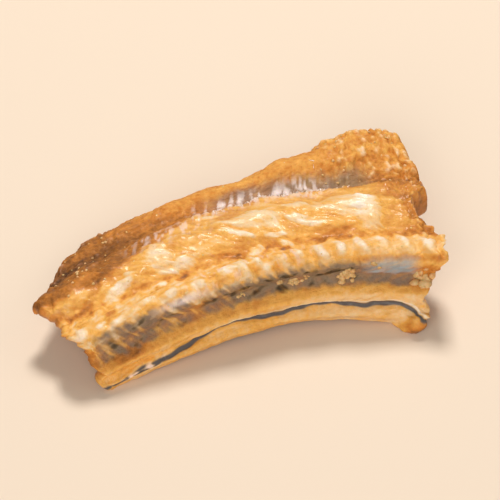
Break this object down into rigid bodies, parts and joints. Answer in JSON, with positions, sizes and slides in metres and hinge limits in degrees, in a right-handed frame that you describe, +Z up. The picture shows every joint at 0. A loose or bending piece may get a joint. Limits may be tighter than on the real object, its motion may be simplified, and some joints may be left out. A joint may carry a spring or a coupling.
{
  "type": "crispy eel snack",
  "caption": "Curled strip of crispy fried eel: glossy golden crown, crimped fin ridge, dark skin recess, thin hem, ragged cut ends and an open channel underneath.",
  "frame": {"origin": "centre of the bounding box, on the plane the piece rests on", "axes": "+X along the strip towards the lumpy end, +Y across it towards the back band, +Z up"},
  "size_m": [0.0582, 0.033, 0.0119],
  "materials": {
    "fried_flesh": "fried golden fish flesh with a thin oil glaze, browned edges and a strip of dark skin"
  },
  "bodies": {
    "root": {"eel_strip": "fried_flesh"}
  },
  "joints": []
}
